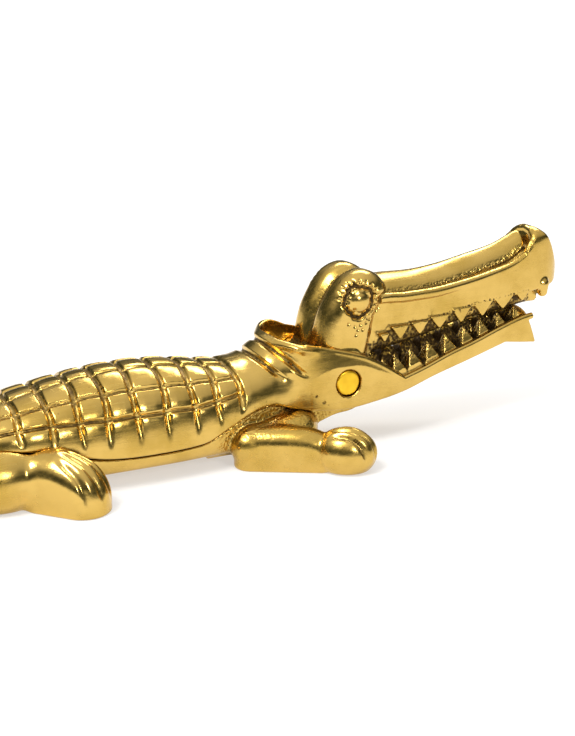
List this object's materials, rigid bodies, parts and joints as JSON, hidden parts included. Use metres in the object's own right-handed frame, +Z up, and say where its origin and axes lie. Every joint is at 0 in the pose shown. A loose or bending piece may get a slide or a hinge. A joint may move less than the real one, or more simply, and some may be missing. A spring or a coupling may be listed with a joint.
{
  "type": "nutcracker",
  "caption": "Cast brass crocodile nutcracker: two crossed levers on a riveted pin, toothed jaws that open as the scaled tail is lifted.",
  "frame": {"origin": "on the table under the middle of the object's bounding box", "axes": "+X towards the snout, +Y towards the animal's left side, +Z up"},
  "size_m": [0.255, 0.0788, 0.0613],
  "materials": {
    "cast_brass_back": "polished",
    "cast_brass_belly": "polished",
    "brass_pin": "polished"
  },
  "bodies": {
    "belly": {"belly_lever": "cast_brass_belly", "pivot_pin": "brass_pin"},
    "back": {"back_lever": "cast_brass_back"}
  },
  "joints": [
    {"name": "jaw_hinge", "type": "hinge", "parent": "belly", "child": "back", "pos_m": [0.0429, 0, 0.021], "axis": [0, 1, 0], "range_deg": [0, 24]}
  ]
}
